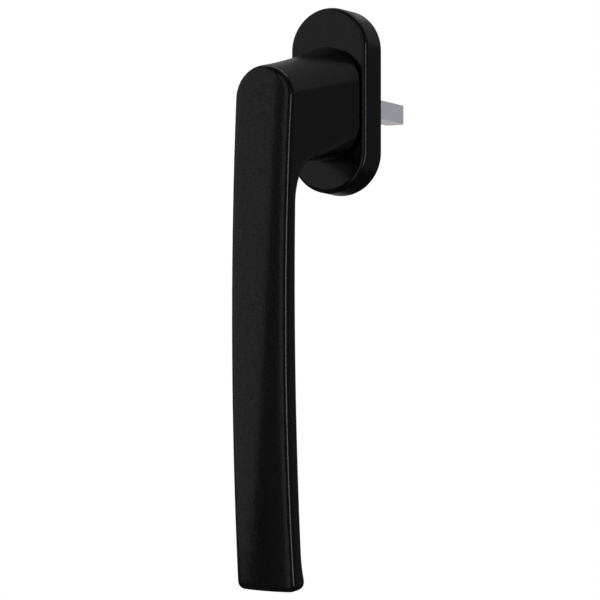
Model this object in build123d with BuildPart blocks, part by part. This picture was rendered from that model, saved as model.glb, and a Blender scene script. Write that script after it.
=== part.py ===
"""Lever handle for a tilt-and-turn window, in millimetres.

The origin is on the spindle axis, in the plane of the sash face. +Z is up, the room is towards -Y,
and the spindle points to +Y. A "depth" is a distance from the sash face towards the room.
"""
from build123d import *
from math import acos, cos, degrees, pi, radians, sin
import os

# Rosette
COVER_WIDTH = 28.5
COVER_HEIGHT = 62.5
COVER_DEPTH = 11.4
COVER_DRAFT = 2.0
COVER_EDGE = 1.65
COVER_WALL = 1.3
COVER_FACE = 1.4
RING_OUTER = 9.8
RING_INNER = 8.57
RING_BACK = 9.95
RING_FRONT = 11.3
RING_EDGE = 0.2

# Base plate
SCREW_SPACING = 43.0
SCREW_HOLE = 5.3
SCREW_HEAD = 9.8
BOSS_DIAMETER = 10.0
BOSS_LENGTH = 10.0
BOSS_EDGE = 0.6
FLANGE_GAP = 0.25
FLANGE = 1.6
FLANGE_EDGE = 0.3
HUB_RADIUS = 12.3
HUB_FACE = 8.2
REAR_POCKET_RADIUS = 8.5
REAR_POCKET_DEPTH = 3.4

# Bearing and detent
SHANK_RADIUS = 7.0
SHANK_STEP_RADIUS = 6.0
SHANK_END = 0.7
BUSH_GAP = 0.05
BUSH_OUTER = 8.0
BUSH_FLANGE_RADIUS = 8.6
BUSH_FLANGE = 0.5
KEY_RADIUS = 8.3
KEY_FLAT = 7.3
COLLAR_RADIUS = 8.5
DISC_RADIUS = 11.9
DISC = 1.0
BALL_RADIUS = 1.5
BALL_PITCH = 10.3
BALL_BORE_RADIUS = 1.55
BALL_BORE_FLOOR = 1.2
BALL_GAP = 0.03
DIMPLE_DEPTH = 0.4
DIMPLE_GAP = 0.03
SPRING_WIRE = 0.5
SPRING_RADIUS = 1.15
SPRING_TURNS = 6
SPRING_SEAT = 1.25

# Retaining parts on the shank's end
CIRCLIP = 1.0
CIRCLIP_GROOVE = 5.6
CIRCLIP_OUTER = 7.2
CIRCLIP_START = 1.3
CIRCLIP_OPENING = 1.6
CIRCLIP_LUG = 1.1
CIRCLIP_LUG_HOLE = 0.5
CIRCLIP_LUG_OFFSET = 1.7
WASHER = 0.7
WASHER_RADIUS = 8.3
SPRING_WASHER_SHEET = 0.2

# Spindle
SPINDLE_SIDE = 7.0
SPINDLE_CORNER = 0.5
SPINDLE_REACH = 45.0
SPINDLE_INSET = 26.0
SPINDLE_CHAMFER = 0.4
PIN_RADIUS = 1.0
PIN_WALL = 0.35
PIN_SLOT = 0.5
PIN_DEPTH = 10.8
PIN_HALF = 8.2

# Cover clips
CLIP_WIDTH = 6.0
CLIP_SHEET = 0.3
CLIP_FOOT_INNER = 26.7
CLIP_FOOT_OUTER = 28.9
CLIP_CREST = 29.2
CLIP_CREST_DEPTH = 6.4
CLIP_TIP = 28.7
CLIP_TIP_DEPTH = 7.8
CLIP_BEND = 0.5
RIVET_HEIGHT = 27.6
RIVET_RADIUS = 0.6
RIVET_HEAD = 0.85
RIVET_HEAD_HEIGHT = 0.4
RIVET_HEAD_EDGE = 0.2
RIVET_INSET = 0.2

# Lever: neck
NECK_ROOT = 13.4
NECK_ROOT_TOP = 17.65
NECK_ROOT_BOTTOM = -20.2
NECK_BLEND = 39.5
NECK_EDGE = 0.4
NECK_SPREAD_START = 56.0
NECK_SPREAD_RADIUS = 346.0
ARCH_SLOPE = 0.1935
ROOT_CORNER = 12.2
BACK_CORNER = 3.0

# Lever: grip
GRIP_HALF_WIDTH = 10.05
GRIP_WAIST = 0.25
GRIP_SPREAD = 0.15
GRIP_BOTTOM = -156.65
FRONT_CREST = (-62.08, -71.65)
FRONT_RADIUS = 733.0
CROWN_RADIUS = 34.0
CROWN_HEIGHT = 0.9
BACK_CREST = (-53.45, -62.0)
BACK_RADIUS = 1000.0
UNDERCUT_CENTRE = (-38.4, -37.0)
UNDERCUT_RADIUS = 15.0
BACK_MIDDLE = -100.0
FLARE_START = -144.0
FLARE_OUT = 3.6
FRONT_EDGE = 2.2
END_CORNER = 2.5

UNDERCUT_START = degrees(acos((-NECK_BLEND - UNDERCUT_CENTRE[0]) / UNDERCUT_RADIUS))
NECK_BLEND_BOTTOM = UNDERCUT_CENTRE[1] + UNDERCUT_RADIUS * sin(radians(UNDERCUT_START))
DISC_BACK = HUB_FACE + BUSH_FLANGE
COLLAR_START = DISC_BACK + DISC
BALL_CENTRE = DISC_BACK - BALL_GAP - BALL_RADIUS
DIMPLE_CENTRE = DISC_BACK + DIMPLE_DEPTH - BALL_RADIUS
UPPER_AND_LOWER = {"upper": 1, "lower": -1}

os.makedirs("parts", exist_ok=True)


def save(part, label):
    """Label a finished piece and write its STEP file."""
    part.label = label
    export_step(part, f"parts/{label}.step")


def room_plane(depth):
    """Plane parallel to the sash face, its normal towards the room."""
    return Plane.XZ.offset(depth)


def obround(height, width):
    """Upright slot outline in the current sketch."""
    SlotOverall(height, width, rotation=90)


def key_outline(radius, flat, mode=Mode.ADD):
    """Circle with two flats, the section that turns the detent disc."""
    with BuildSketch(mode=Mode.PRIVATE) as outline:
        Circle(radius)
        Rectangle(2 * flat, 2 * radius, mode=Mode.INTERSECT)
    add(outline.sketch, mode=mode)


def neck_half_width(depth):
    """Half width of neck and grip: an arc that spreads towards the rosette."""
    reach = max(0.0, NECK_SPREAD_START - depth)
    return GRIP_HALF_WIDTH + reach**2 / (2 * NECK_SPREAD_RADIUS)


def arch_centre(depth):
    """Height of the centre of the arch on top of neck and grip."""
    root = NECK_ROOT_TOP - neck_half_width(NECK_ROOT)
    return root - ARCH_SLOPE * (depth - NECK_ROOT)


def neck_section(depth):
    """Arch, two sides and a bottom whose corners tighten away from the root."""
    share = (depth - NECK_ROOT) / (NECK_BLEND - NECK_ROOT)
    corner = ROOT_CORNER + share * (BACK_CORNER - ROOT_CORNER)
    bottom = NECK_ROOT_BOTTOM + share * (NECK_BLEND_BOTTOM - NECK_ROOT_BOTTOM)
    half = neck_half_width(depth)
    centre = arch_centre(depth)
    bend = corner * (1 - sin(pi / 4))
    with BuildSketch(room_plane(depth)) as section:
        with BuildLine():
            ThreePointArc((-half, centre), (0, centre + half), (half, centre))
            Line((half, centre), (half, bottom + corner))
            ThreePointArc((half, bottom + corner), (half - bend, bottom + bend), (half - corner, bottom))
            Line((half - corner, bottom), (corner - half, bottom))
            ThreePointArc((corner - half, bottom), (bend - half, bottom + bend), (-half, bottom + corner))
            Line((-half, bottom + corner), (-half, centre))
        make_face()
    return section.sketch


def front_section(depth):
    """Outline of the grip seen from the room, at one depth."""
    half = neck_half_width(depth)
    foot = half + GRIP_SPREAD
    centre = arch_centre(depth)
    low = GRIP_BOTTOM
    corner = low + END_CORNER
    middle = (corner + centre) / 2
    bend = END_CORNER * (1 - sin(pi / 4))
    with BuildSketch(room_plane(depth)) as section:
        with BuildLine():
            ThreePointArc((-half, centre), (0, centre + half), (half, centre))
            ThreePointArc((half, centre), (half - GRIP_WAIST, middle), (foot, corner))
            ThreePointArc((foot, corner), (foot - bend, low + bend), (foot - END_CORNER, low))
            Line((foot - END_CORNER, low), (END_CORNER - foot, low))
            ThreePointArc((END_CORNER - foot, low), (bend - foot, low + bend), (-foot, corner))
            ThreePointArc((-foot, corner), (GRIP_WAIST - half, middle), (-half, centre))
        make_face()
    return section.sketch


def bow(height, crest, radius):
    """Y of a shallow arc whose point nearest the room is crest."""
    return crest[0] + (height - crest[1]) ** 2 / (2 * radius)


# Lever: the grip with its back, cut from an arched bar
with BuildPart() as grip:
    loft([front_section(depth) for depth in (NECK_BLEND, 45.0, 50.5, NECK_SPREAD_START, 66.0)])
    with BuildSketch(Plane.YZ):
        with BuildLine():
            back_start = (UNDERCUT_CENTRE[0] - UNDERCUT_RADIUS, UNDERCUT_CENTRE[1])
            back_middle = (bow(BACK_MIDDLE, BACK_CREST, BACK_RADIUS), BACK_MIDDLE)
            back_end = (bow(FLARE_START, BACK_CREST, BACK_RADIUS), FLARE_START)
            flare_end = (back_end[0] + FLARE_OUT, GRIP_BOTTOM)
            CenterArc(UNDERCUT_CENTRE, UNDERCUT_RADIUS, UNDERCUT_START, 180 - UNDERCUT_START)
            ThreePointArc(back_start, back_middle, back_end)
            lean = (back_end[0] - back_middle[0], back_end[1] - back_middle[1])
            TangentArc(back_end, flare_end, tangent=lean)
            Polyline(flare_end, (-80, GRIP_BOTTOM), (-80, 30), (-NECK_BLEND, 30))
            Line((-NECK_BLEND, 30), (-NECK_BLEND, NECK_BLEND_BOTTOM))
        make_face()
    extrude(amount=20, both=True, mode=Mode.INTERSECT)
    with BuildSketch(Plane.XY.offset(FRONT_CREST[1])):
        with BuildLine():
            edge = FRONT_CREST[0] - CROWN_HEIGHT + 12**2 / (2 * CROWN_RADIUS)
            ThreePointArc((-12, edge), (0, FRONT_CREST[0] - CROWN_HEIGHT), (12, edge))
            Polyline((12, edge), (12, -30), (-12, -30), (-12, edge))
        make_face()
    crown_axis = Axis((0, FRONT_CREST[0] + FRONT_RADIUS, FRONT_CREST[1]), (1, 0, 0))
    revolve(axis=crown_axis, revolution_arc=360, mode=Mode.INTERSECT)
    fillet(grip.faces().sort_by(Axis.Y)[0].edges(), radius=FRONT_EDGE)
    back = grip.edges().filter_by(lambda edge: abs(edge.center().X) > 9)
    back = back.filter_by(lambda edge: -54.5 < edge.center().Y < -NECK_BLEND - 0.5)
    back = back.filter_by(lambda edge: edge.bounding_box().max.Y > -54)
    fillet(back, radius=BACK_CORNER)

# Lever: neck, shank and holes
with BuildPart() as neck:
    joint = grip.faces().sort_by(Axis.Y)[-1]
    loft([neck_section(depth) for depth in (NECK_ROOT, 22.0, 30.5)] + [joint])
    root = neck.faces().sort_by(Axis.Y)[-1]
    fillet(root.edges(), radius=NECK_EDGE)

with BuildPart() as lever:
    add(grip.part)
    add(neck.part)
    with BuildSketch(room_plane(COLLAR_START)):
        Circle(COLLAR_RADIUS)
    extrude(amount=NECK_ROOT - COLLAR_START + 1)
    with BuildSketch(room_plane(DISC_BACK)):
        key_outline(KEY_RADIUS, KEY_FLAT)
    extrude(amount=DISC)
    with BuildSketch(room_plane(REAR_POCKET_DEPTH + 0.1)):
        Circle(SHANK_RADIUS)
    extrude(amount=DISC_BACK - REAR_POCKET_DEPTH)
    with BuildSketch(room_plane(SHANK_END)):
        Circle(SHANK_STEP_RADIUS)
    extrude(amount=REAR_POCKET_DEPTH)
    with BuildSketch(room_plane(CIRCLIP_START)):
        Circle(SHANK_STEP_RADIUS + 1)
        Circle(CIRCLIP_GROOVE, mode=Mode.SUBTRACT)
    extrude(amount=CIRCLIP, mode=Mode.SUBTRACT)
    with BuildSketch(room_plane(0)):
        RectangleRounded(SPINDLE_SIDE, SPINDLE_SIDE, SPINDLE_CORNER)
    extrude(amount=SPINDLE_INSET, mode=Mode.SUBTRACT)
    with BuildSketch(Plane.YZ):
        with Locations((-PIN_DEPTH, 0)):
            Circle(PIN_RADIUS)
    extrude(amount=COLLAR_RADIUS + 1, both=True, mode=Mode.SUBTRACT)
save(lever.part, "lever")

with BuildPart() as spindle:
    with BuildSketch(room_plane(-SPINDLE_REACH)):
        RectangleRounded(SPINDLE_SIDE, SPINDLE_SIDE, SPINDLE_CORNER)
    extrude(amount=SPINDLE_REACH + SPINDLE_INSET)
    chamfer(spindle.faces().sort_by(Axis.Y)[-1].edges(), length=SPINDLE_CHAMFER)
    with BuildSketch(Plane.YZ):
        with Locations((-PIN_DEPTH, 0)):
            Circle(PIN_RADIUS)
    extrude(amount=SPINDLE_SIDE, both=True, mode=Mode.SUBTRACT)
save(spindle.part, "spindle")

with BuildPart() as spindle_pin:
    with BuildSketch(Plane.YZ):
        with Locations((-PIN_DEPTH, 0)):
            Circle(PIN_RADIUS)
            Circle(PIN_RADIUS - PIN_WALL, mode=Mode.SUBTRACT)
        with Locations((-PIN_DEPTH, -PIN_RADIUS)):
            Rectangle(PIN_SLOT, 2 * PIN_WALL + PIN_SLOT, mode=Mode.SUBTRACT)
    extrude(amount=PIN_HALF, both=True)
save(spindle_pin.part, "spindle_pin")

with BuildPart() as base_plate:
    with BuildSketch(room_plane(0)):
        obround(COVER_HEIGHT - 2 * (COVER_WALL + FLANGE_GAP), COVER_WIDTH - 2 * (COVER_WALL + FLANGE_GAP))
    extrude(amount=FLANGE)
    chamfer(base_plate.faces().sort_by(Axis.Y)[0].edges(), length=FLANGE_EDGE)
    with BuildSketch(room_plane(FLANGE)):
        Circle(HUB_RADIUS)
    extrude(amount=HUB_FACE - FLANGE)
    chamfer(base_plate.faces().sort_by(Axis.Y)[0].edges(), length=FLANGE_EDGE)
    with BuildSketch(room_plane(-BOSS_LENGTH)):
        with GridLocations(0, SCREW_SPACING, 1, 2):
            Circle(BOSS_DIAMETER / 2)
    extrude(amount=BOSS_LENGTH)
    boss_ends = base_plate.faces().sort_by(Axis.Y)[-2:].edges()
    chamfer(boss_ends, length=BOSS_EDGE)
    with Locations(room_plane(FLANGE)):
        with GridLocations(0, SCREW_SPACING, 1, 2):
            CounterSinkHole(SCREW_HOLE / 2, SCREW_HEAD / 2)
    with BuildSketch(room_plane(0)):
        Circle(BUSH_OUTER)
        with GridLocations(0, 2 * RIVET_HEIGHT, 1, 2):
            Circle(RIVET_RADIUS)
    extrude(amount=HUB_FACE, mode=Mode.SUBTRACT)
    with BuildSketch(room_plane(0)):
        Circle(REAR_POCKET_RADIUS)
    extrude(amount=REAR_POCKET_DEPTH, mode=Mode.SUBTRACT)
    with BuildSketch(room_plane(BALL_BORE_FLOOR)):
        with GridLocations(0, 2 * BALL_PITCH, 1, 2):
            Circle(BALL_BORE_RADIUS)
    extrude(amount=HUB_FACE, mode=Mode.SUBTRACT)
save(base_plate.part, "base_plate")

with BuildPart() as neck_bush:
    with BuildSketch(room_plane(REAR_POCKET_DEPTH)):
        Circle(BUSH_OUTER)
    extrude(amount=HUB_FACE - REAR_POCKET_DEPTH)
    with BuildSketch(room_plane(HUB_FACE)):
        Circle(BUSH_FLANGE_RADIUS)
    extrude(amount=BUSH_FLANGE)
    with BuildSketch(room_plane(0)):
        Circle(SHANK_RADIUS + BUSH_GAP)
    extrude(amount=COVER_DEPTH, mode=Mode.SUBTRACT)
save(neck_bush.part, "neck_bush")

with BuildPart() as detent_disc:
    with BuildSketch(room_plane(DISC_BACK)):
        Circle(DISC_RADIUS)
        key_outline(KEY_RADIUS, KEY_FLAT, mode=Mode.SUBTRACT)
    extrude(amount=DISC)
    with Locations(room_plane(DIMPLE_CENTRE)):
        with PolarLocations(BALL_PITCH, 4):
            Sphere(BALL_RADIUS + DIMPLE_GAP, mode=Mode.SUBTRACT)
save(detent_disc.part, "detent_disc")

for side, up in UPPER_AND_LOWER.items():
    with BuildPart(room_plane(BALL_CENTRE)) as ball:
        with Locations((0, up * BALL_PITCH)):
            Sphere(BALL_RADIUS)
    save(ball.part, f"detent_ball_{side}")

    start = BALL_BORE_FLOOR + SPRING_WIRE / 2
    end = BALL_CENTRE - SPRING_SEAT - SPRING_WIRE / 2
    turn = (end - start) / SPRING_TURNS
    with BuildPart() as coil:
        with BuildLine():
            foot = (0, -start, up * BALL_PITCH)
            path = Helix(turn, end - start, SPRING_RADIUS, center=foot, direction=(0, -1, 0))
        with BuildSketch(Plane(path @ 0, z_dir=path % 0)):
            Circle(SPRING_WIRE / 2)
        sweep(path=path, is_frenet=True)
    save(coil.part, f"detent_spring_{side}")

with BuildPart() as circlip:
    with BuildSketch(room_plane(CIRCLIP_START)):
        Circle(CIRCLIP_OUTER)
        with Locations((CIRCLIP_LUG_OFFSET, -CIRCLIP_OUTER), (-CIRCLIP_LUG_OFFSET, -CIRCLIP_OUTER)):
            Circle(CIRCLIP_LUG)
        Circle(CIRCLIP_GROOVE, mode=Mode.SUBTRACT)
        with Locations((CIRCLIP_LUG_OFFSET, -CIRCLIP_OUTER), (-CIRCLIP_LUG_OFFSET, -CIRCLIP_OUTER)):
            Circle(CIRCLIP_LUG_HOLE, mode=Mode.SUBTRACT)
        with Locations((0, -CIRCLIP_OUTER)):
            Rectangle(CIRCLIP_OPENING, 2 * CIRCLIP_OUTER - CIRCLIP_GROOVE, mode=Mode.SUBTRACT)
    extrude(amount=CIRCLIP)
save(circlip.part, "circlip")

washer_start = CIRCLIP_START + CIRCLIP
with BuildPart() as retaining_washer:
    with BuildSketch(room_plane(washer_start)):
        Circle(WASHER_RADIUS)
        Circle(SHANK_STEP_RADIUS + BUSH_GAP, mode=Mode.SUBTRACT)
    extrude(amount=WASHER)
save(retaining_washer.part, "retaining_washer")

with BuildPart() as spring_washer:
    inner = SHANK_STEP_RADIUS + BUSH_GAP
    low = -washer_start - WASHER
    high = -REAR_POCKET_DEPTH
    with BuildSketch(Plane.XY):
        Polygon(
            (inner, low),
            (inner, low - SPRING_WASHER_SHEET),
            (WASHER_RADIUS, high),
            (WASHER_RADIUS, high + SPRING_WASHER_SHEET),
            align=None,
        )
    revolve(axis=Axis.Y)
save(spring_washer.part, "spring_washer")

with BuildPart() as cover:
    with BuildSketch(room_plane(0)):
        obround(COVER_HEIGHT, COVER_WIDTH)
    extrude(amount=COVER_DEPTH, taper=COVER_DRAFT)
    fillet(cover.faces().sort_by(Axis.Y)[0].edges(), radius=COVER_EDGE)
    with BuildSketch(room_plane(0)):
        obround(COVER_HEIGHT - 2 * COVER_WALL, COVER_WIDTH - 2 * COVER_WALL)
    extrude(amount=COVER_DEPTH - COVER_FACE, taper=COVER_DRAFT, mode=Mode.SUBTRACT)
    with BuildSketch(room_plane(0)):
        Circle(RING_OUTER)
    extrude(amount=COVER_DEPTH, mode=Mode.SUBTRACT)
save(cover.part, "cover")

with BuildPart() as glide_ring:
    with BuildSketch(room_plane(RING_BACK)):
        Circle(RING_OUTER)
        Circle(RING_INNER, mode=Mode.SUBTRACT)
    extrude(amount=RING_FRONT - RING_BACK)
    chamfer(glide_ring.faces().sort_by(Axis.Y)[0].edges(), length=RING_EDGE)
save(glide_ring.part, "glide_ring")

for side, up in UPPER_AND_LOWER.items():
    middle = -FLANGE - CLIP_SHEET / 2
    with BuildPart() as clip:
        with BuildSketch(Plane.YZ):
            with BuildLine():
                FilletPolyline(
                    (middle, up * CLIP_FOOT_INNER),
                    (middle, up * CLIP_FOOT_OUTER),
                    (-CLIP_CREST_DEPTH, up * CLIP_CREST),
                    (-CLIP_TIP_DEPTH, up * CLIP_TIP),
                    radius=CLIP_BEND,
                )
            trace(line_width=CLIP_SHEET)
        extrude(amount=CLIP_WIDTH / 2, both=True)
        with BuildSketch(room_plane(FLANGE)):
            with Locations((0, up * RIVET_HEIGHT)):
                Circle(RIVET_RADIUS)
        extrude(amount=CLIP_SHEET, mode=Mode.SUBTRACT)
    save(clip.part, f"cover_clip_{side}")

    with BuildPart() as rivet:
        with BuildSketch(room_plane(RIVET_INSET)):
            with Locations((0, up * RIVET_HEIGHT)):
                Circle(RIVET_RADIUS)
        extrude(amount=FLANGE + CLIP_SHEET - RIVET_INSET)
        with BuildSketch(room_plane(FLANGE + CLIP_SHEET)):
            with Locations((0, up * RIVET_HEIGHT)):
                Circle(RIVET_HEAD)
        extrude(amount=RIVET_HEAD_HEIGHT)
        fillet(rivet.faces().sort_by(Axis.Y)[0].edges(), radius=RIVET_HEAD_EDGE)
    save(rivet.part, f"clip_rivet_{side}")
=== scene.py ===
"""Looks for the lever handle of a tilt-and-turn window. Metres, +Z up, the room towards -Y."""
import math

import bmesh
import bpy
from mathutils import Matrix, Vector


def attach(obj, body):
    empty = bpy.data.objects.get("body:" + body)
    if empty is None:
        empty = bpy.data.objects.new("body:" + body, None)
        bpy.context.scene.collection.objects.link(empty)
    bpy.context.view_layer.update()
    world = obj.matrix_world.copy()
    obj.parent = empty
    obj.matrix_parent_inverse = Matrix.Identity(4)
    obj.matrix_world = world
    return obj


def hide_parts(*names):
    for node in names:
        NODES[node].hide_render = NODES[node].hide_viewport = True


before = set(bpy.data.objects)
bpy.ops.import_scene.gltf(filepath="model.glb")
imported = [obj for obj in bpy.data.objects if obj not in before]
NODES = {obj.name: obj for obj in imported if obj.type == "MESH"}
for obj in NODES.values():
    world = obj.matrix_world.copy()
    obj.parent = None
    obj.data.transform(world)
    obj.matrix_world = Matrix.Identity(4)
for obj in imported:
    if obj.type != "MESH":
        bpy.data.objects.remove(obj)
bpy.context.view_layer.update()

# Lever: where its skin ends behind the neck, and how even the skin is
LEVER_CUT = -0.0128
LEVER_VOXEL = 0.0004
LEVER_FAIRING = 8
MERGE_DISTANCE = 1e-7

# Black coat: its colour and the ranges that its grain gives
COAT_COLOR = (0.007, 0.007, 0.0071, 1)
COAT_GRAIN = 2200
COAT_ROUGHNESS = (0.12, 0.22)
COAT_SPECULAR = (0.1, 0.9)
COAT_BUMP = 0.25
COAT_BUMP_HEIGHT = 0.00004

# Metals and plastics: bump strength and height, and how far a plastic's roughness varies
METAL_BUMP = 0.15
PLASTIC_BUMP = 0.1
BUMP_HEIGHT = 0.00003
PLASTIC_GRAIN = 2500
PLASTIC_SPREAD = 0.06

# Camera: level, to the right of the handle, looking a little to the left
CAMERA_TURN = math.radians(26.17)
CAMERA_PLACE = (0.2602, -0.5619, -0.0663)
CAMERA_LENS = 110.0

# Studio: soft boxes by shape, azimuth, elevation, distance, size, radiance and colour
FLOOR_HEIGHT = -1.2
FLOOR_REACH = 20
STUDIO_LIGHT = (0.058, 0.058, 0.060, 1)
STUDIO_DARK = (0.012, 0.012, 0.012, 1)
DARK_SIDE = (0.0, 0.6, -0.8)
DARK_START = 0.73
DARK_FULL = 0.83
LIGHT_AIM = Vector((0, -0.03, -0.06))
WHITE = (1.0, 1.0, 1.0)
WARM = (1.0, 0.95, 0.88)
COOL = (0.75, 0.85, 1.0)
LIGHTS = (
    ("front_left", "DISK", -51, 18, 1.5, (2.34, 2.34), 0.32, WHITE),
    ("front_fill", "RECTANGLE", -4, 0, 1.6, (0.9, 2.6), 0.028, WHITE),
    ("front_right", "RECTANGLE", 14, 0, 1.5, (0.75, 2.4), 0.31, WHITE),
    ("right_strip", "RECTANGLE", 76, -5, 1.5, (0.32, 1.2), 2.9, WHITE),
    ("overhead", "RECTANGLE", 180, 70, 1.5, (1.6, 0.8), 0.8, WHITE),
    ("behind_right", "RECTANGLE", 160, 42, 1.5, (1.8, 1.56), 0.075, WHITE),
    ("behind_high", "RECTANGLE", -159, 18, 1.5, (0.75, 0.9), 0.15, WHITE),
    ("behind_low", "RECTANGLE", -154, -10, 1.5, (0.5, 0.25), 0.09, WARM),
)
SPINDLE_LIGHTS = (
    ("spindle_side", "RECTANGLE", 100, 0, 1.5, (0.5, 0.5), 3.5, COOL),
    ("spindle_under", "RECTANGLE", -170, -65, 1.5, (0.5, 0.5), 11.5, WARM),
)


def new_material(name):
    """A material with its shader, node tree and links at hand."""
    material = bpy.data.materials.new(name)
    material.use_nodes = True
    tree = material.node_tree
    return material, tree.nodes, tree.links, tree.nodes["Principled BSDF"]


def noise(nodes, links, scale, detail=2.0):
    """A noise texture in the object's own metres."""
    place = nodes.new("ShaderNodeTexCoord")
    texture = nodes.new("ShaderNodeTexNoise")
    texture.inputs["Scale"].default_value = scale
    texture.inputs["Detail"].default_value = detail
    links.new(place.outputs["Object"], texture.inputs["Vector"])
    return texture


def spread(nodes, links, source, low, high):
    """Maps a 0 to 1 value to the range low to high."""
    mapping = nodes.new("ShaderNodeMapRange")
    mapping.inputs["To Min"].default_value = low
    mapping.inputs["To Max"].default_value = high
    links.new(source, mapping.inputs["Value"])
    return mapping.outputs["Result"]


def bump(nodes, links, shader, height, strength, distance):
    """Puts a height on the shader's normal."""
    node = nodes.new("ShaderNodeBump")
    node.inputs["Strength"].default_value = strength
    node.inputs["Distance"].default_value = distance
    links.new(height, node.inputs["Height"])
    links.new(node.outputs["Normal"], shader.inputs["Normal"])


def powder_coat():
    """Satin black powder coat: very fine orange peel and grain."""
    material, nodes, links, shader = new_material("black_powder_coat")
    shader.inputs["Base Color"].default_value = COAT_COLOR
    shader.inputs["IOR"].default_value = 1.5
    grain = noise(nodes, links, COAT_GRAIN).outputs["Fac"]
    links.new(spread(nodes, links, grain, *COAT_ROUGHNESS), shader.inputs["Roughness"])
    links.new(spread(nodes, links, grain, *COAT_SPECULAR), shader.inputs["Specular IOR Level"])
    bump(nodes, links, shader, grain, COAT_BUMP, COAT_BUMP_HEIGHT)
    return material


def metal(name, color, roughness_low, roughness_high, scale, metallic=1.0):
    """Bare metal with fine scuffs."""
    material, nodes, links, shader = new_material(name)
    shader.inputs["Base Color"].default_value = (*color, 1)
    shader.inputs["Metallic"].default_value = metallic
    grain = noise(nodes, links, scale, 4).outputs["Fac"]
    links.new(spread(nodes, links, grain, roughness_low, roughness_high), shader.inputs["Roughness"])
    bump(nodes, links, shader, grain, METAL_BUMP, BUMP_HEIGHT)
    return material


def plastic(name, color, roughness):
    """Moulded plastic with a faint texture."""
    material, nodes, links, shader = new_material(name)
    shader.inputs["Base Color"].default_value = (*color, 1)
    grain = noise(nodes, links, PLASTIC_GRAIN, 3).outputs["Fac"]
    low, high = roughness - PLASTIC_SPREAD, roughness + PLASTIC_SPREAD
    links.new(spread(nodes, links, grain, low, high), shader.inputs["Roughness"])
    bump(nodes, links, shader, grain, PLASTIC_BUMP, BUMP_HEIGHT)
    return material


COAT = powder_coat()
ZINC_PLATE = metal("zinc_plate", (0.62, 0.63, 0.68), 0.25, 0.4, 900)
GALVANISED = metal("zinc_plate_matt", (0.95, 0.96, 1.0), 0.5, 0.65, 700, metallic=0.0)
SPRING_STEEL = metal("spring_steel_blued", (0.30, 0.31, 0.34), 0.2, 0.35, 1500)
ZINC_CAST = metal("zinc_cast", (0.52, 0.53, 0.55), 0.4, 0.6, 700, metallic=0.4)
BALL_STEEL = metal("ball_steel", (0.72, 0.72, 0.74), 0.06, 0.12, 3000)
ACETAL = plastic("acetal_white", (0.78, 0.77, 0.72), 0.42)
ACETAL_BLACK = plastic("acetal_black", (0.004, 0.004, 0.0042), 0.5)

FINISHES = {
    "lever": COAT,
    "cover": COAT,
    "glide_ring": ACETAL_BLACK,
    "neck_bush": ACETAL,
    "base_plate": ZINC_CAST,
    "spindle": GALVANISED,
    "retaining_washer": ZINC_PLATE,
    "clip_rivet_upper": ZINC_PLATE,
    "clip_rivet_lower": ZINC_PLATE,
    "detent_ball_upper": BALL_STEEL,
    "detent_ball_lower": BALL_STEEL,
}
for name, node in NODES.items():
    node.data.materials.clear()
    node.data.materials.append(FINISHES.get(name, SPRING_STEEL))


def lever_half(name, towards_room):
    """One side of the lever's solid, cut behind the neck and closed there."""
    half = bmesh.new()
    half.from_mesh(NODES["lever"].data)
    bmesh.ops.remove_doubles(half, verts=half.verts[:], dist=MERGE_DISTANCE)
    side = {"clear_outer": towards_room, "clear_inner": not towards_room}
    everything = half.verts[:] + half.edges[:] + half.faces[:]
    cut = bmesh.ops.bisect_plane(
        half, geom=everything, plane_co=(0, LEVER_CUT, 0), plane_no=(0, 1, 0), **side
    )
    rims = [part for part in cut["geom_cut"] if isinstance(part, bmesh.types.BMEdge)]
    bmesh.ops.triangle_fill(half, use_beauty=True, edges=rims)
    mesh = bpy.data.meshes.new(name)
    half.to_mesh(mesh)
    half.free()
    mesh.materials.clear()
    mesh.materials.append(COAT)
    piece = bpy.data.objects.new(name, mesh)
    bpy.context.collection.objects.link(piece)
    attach(piece, "lever")
    return piece


def make_lever():
    """Grip and neck as one even, smooth skin, and the machined shank behind them."""
    outside = lever_half("lever_outside", True)
    skin = outside.modifiers.new("skin", "REMESH")
    skin.mode = "VOXEL"
    skin.voxel_size = LEVER_VOXEL
    skin.use_smooth_shade = True
    fairing = outside.modifiers.new("fairing", "SMOOTH")
    fairing.factor = 0.5
    fairing.iterations = LEVER_FAIRING
    bpy.context.view_layer.objects.active = outside
    for modifier in ("skin", "fairing"):
        bpy.ops.object.modifier_apply(modifier=modifier)
    shank = lever_half("lever_shank", False)
    for piece in (outside, shank):
        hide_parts("lever")


def make_camera():
    """Level camera with a long lens."""
    camera = bpy.data.objects.new("camera", bpy.data.cameras.new("camera"))
    bpy.context.collection.objects.link(camera)
    camera.location = CAMERA_PLACE
    camera.rotation_euler = (math.pi / 2, 0, CAMERA_TURN)
    camera.data.lens = CAMERA_LENS
    camera.data.clip_start = 0.01
    bpy.context.scene.camera = camera


def area_light(name, shape, azimuth, elevation, distance, size, radiance, color):
    """Soft box aimed at the handle. Azimuth 0 is in front, positive towards +X."""
    light = bpy.data.lights.new(name, "AREA")
    light.shape = shape
    light.size, light.size_y = size
    area = size[0] * size[1] * (math.pi / 4 if shape == "DISK" else 1)
    light.energy = radiance * math.pi * area
    light.color = color
    lamp = bpy.data.objects.new(name, light)
    bpy.context.collection.objects.link(lamp)
    lamp.visible_camera = False
    turn, rise = math.radians(azimuth), math.radians(elevation)
    level = math.cos(rise)
    way = Vector((math.sin(turn) * level, -math.cos(turn) * level, math.sin(rise)))
    lamp.location = LIGHT_AIM + way * distance
    lamp.rotation_euler = (-way).to_track_quat("-Z", "Y").to_euler()
    return lamp


def light_spindle():
    """Lights that fall on the bright bar alone, as flags would keep them off the black coat."""
    bar = bpy.data.collections.new("bar")
    bar.objects.link(NODES["spindle"])
    for light in SPINDLE_LIGHTS:
        area_light(*light).light_linking.receiver_collection = bar


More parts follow.
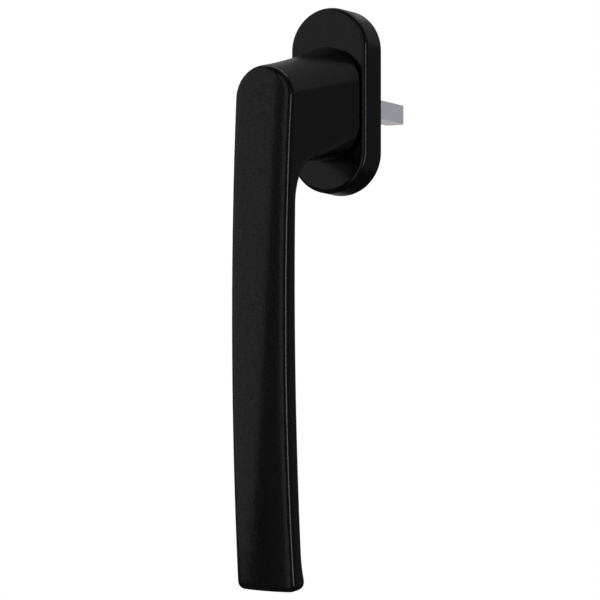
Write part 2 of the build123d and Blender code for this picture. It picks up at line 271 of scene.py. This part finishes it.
def make_floor():
    """Plain white floor far below, without a visible horizon."""
    floor_mesh = bpy.data.meshes.new("floor")
    signs = ((-1, -1), (1, -1), (1, 1), (-1, 1))
    corners = [(x * FLOOR_REACH, y * FLOOR_REACH, FLOOR_HEIGHT) for x, y in signs]
    floor_mesh.from_pydata(corners, [], [(0, 1, 2, 3)])
    floor = bpy.data.objects.new("floor", floor_mesh)
    bpy.context.collection.objects.link(floor)
    floor.visible_diffuse = False
    floor.visible_glossy = False
    floor.visible_shadow = False
    material, _, _, shader = new_material("floor_white")
    shader.inputs["Base Color"].default_value = (0, 0, 0, 1)
    shader.inputs["Specular IOR Level"].default_value = 0.0
    shader.inputs["Emission Color"].default_value = (1, 1, 1, 1)
    shader.inputs["Emission Strength"].default_value = 1.0
    floor_mesh.materials.append(material)


def make_world():
    """White surround behind the handle, a dim studio in its reflections."""
    world = bpy.data.worlds.new("world")
    world.use_nodes = True
    nodes, links = world.node_tree.nodes, world.node_tree.links
    studio = nodes["Background"]
    place = nodes.new("ShaderNodeTexCoord")
    towards = nodes.new("ShaderNodeVectorMath")
    towards.operation = "DOT_PRODUCT"
    towards.inputs[1].default_value = DARK_SIDE
    shade = nodes.new("ShaderNodeValToRGB")
    light_end, dark_end = shade.color_ramp.elements
    light_end.position, light_end.color = DARK_START, STUDIO_LIGHT
    dark_end.position, dark_end.color = DARK_FULL, STUDIO_DARK
    links.new(place.outputs["Generated"], towards.inputs[0])
    links.new(towards.outputs["Value"], shade.inputs["Fac"])
    links.new(shade.outputs["Color"], studio.inputs["Color"])
    backdrop = nodes.new("ShaderNodeBackground")
    backdrop.inputs["Color"].default_value = (1, 1, 1, 1)
    rays = nodes.new("ShaderNodeLightPath")
    choice = nodes.new("ShaderNodeMixShader")
    links.new(rays.outputs["Is Camera Ray"], choice.inputs["Fac"])
    links.new(studio.outputs["Background"], choice.inputs[1])
    links.new(backdrop.outputs["Background"], choice.inputs[2])
    links.new(choice.outputs["Shader"], nodes["World Output"].inputs["Surface"])
    bpy.context.scene.world = world


make_lever()
make_camera()
make_floor()
make_world()
for light in LIGHTS:
    area_light(*light)
light_spindle()
bpy.context.scene.view_settings.view_transform = "Standard"
